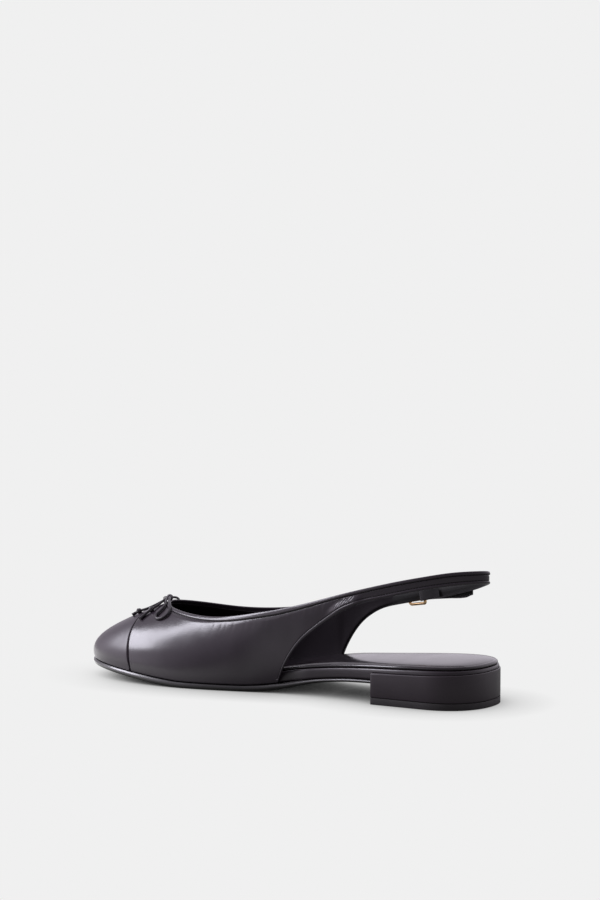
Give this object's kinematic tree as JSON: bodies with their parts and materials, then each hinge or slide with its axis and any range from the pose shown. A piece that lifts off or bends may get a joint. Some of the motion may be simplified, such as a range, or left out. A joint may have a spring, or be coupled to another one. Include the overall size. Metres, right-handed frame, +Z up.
{
  "type": "slingback flat shoe",
  "caption": "Right slingback flat with capped almond toe, cord bow, low covered block heel, padded sock and a heel strap that buckles on the outer side.",
  "frame": {"origin": "middle of the shoe's bounding box, on the floor that it stands on", "axes": "toe along -X, heel along +X, little toe's side along +Y, +Z up"},
  "size_m": [0.25, 0.078, 0.0737],
  "materials": {
    "leather": "smooth satin black",
    "lining": "smooth satin black",
    "edge": "painted and polished black edge",
    "rubber": "matt black",
    "gold": "polished pale gold"
  },
  "bodies": {
    "root": {"top_lift": "rubber", "heel_block": "leather", "outsole": "edge", "footbed": "leather", "sock": "lining", "upper": "leather", "buckle_frame": "gold", "buckle_prong": "gold", "bow_knot": "leather", "bow_loop_medial": "leather", "bow_loop_lateral": "leather", "bow_tail_medial": "leather", "bow_tail_lateral": "leather"}
  },
  "joints": []
}
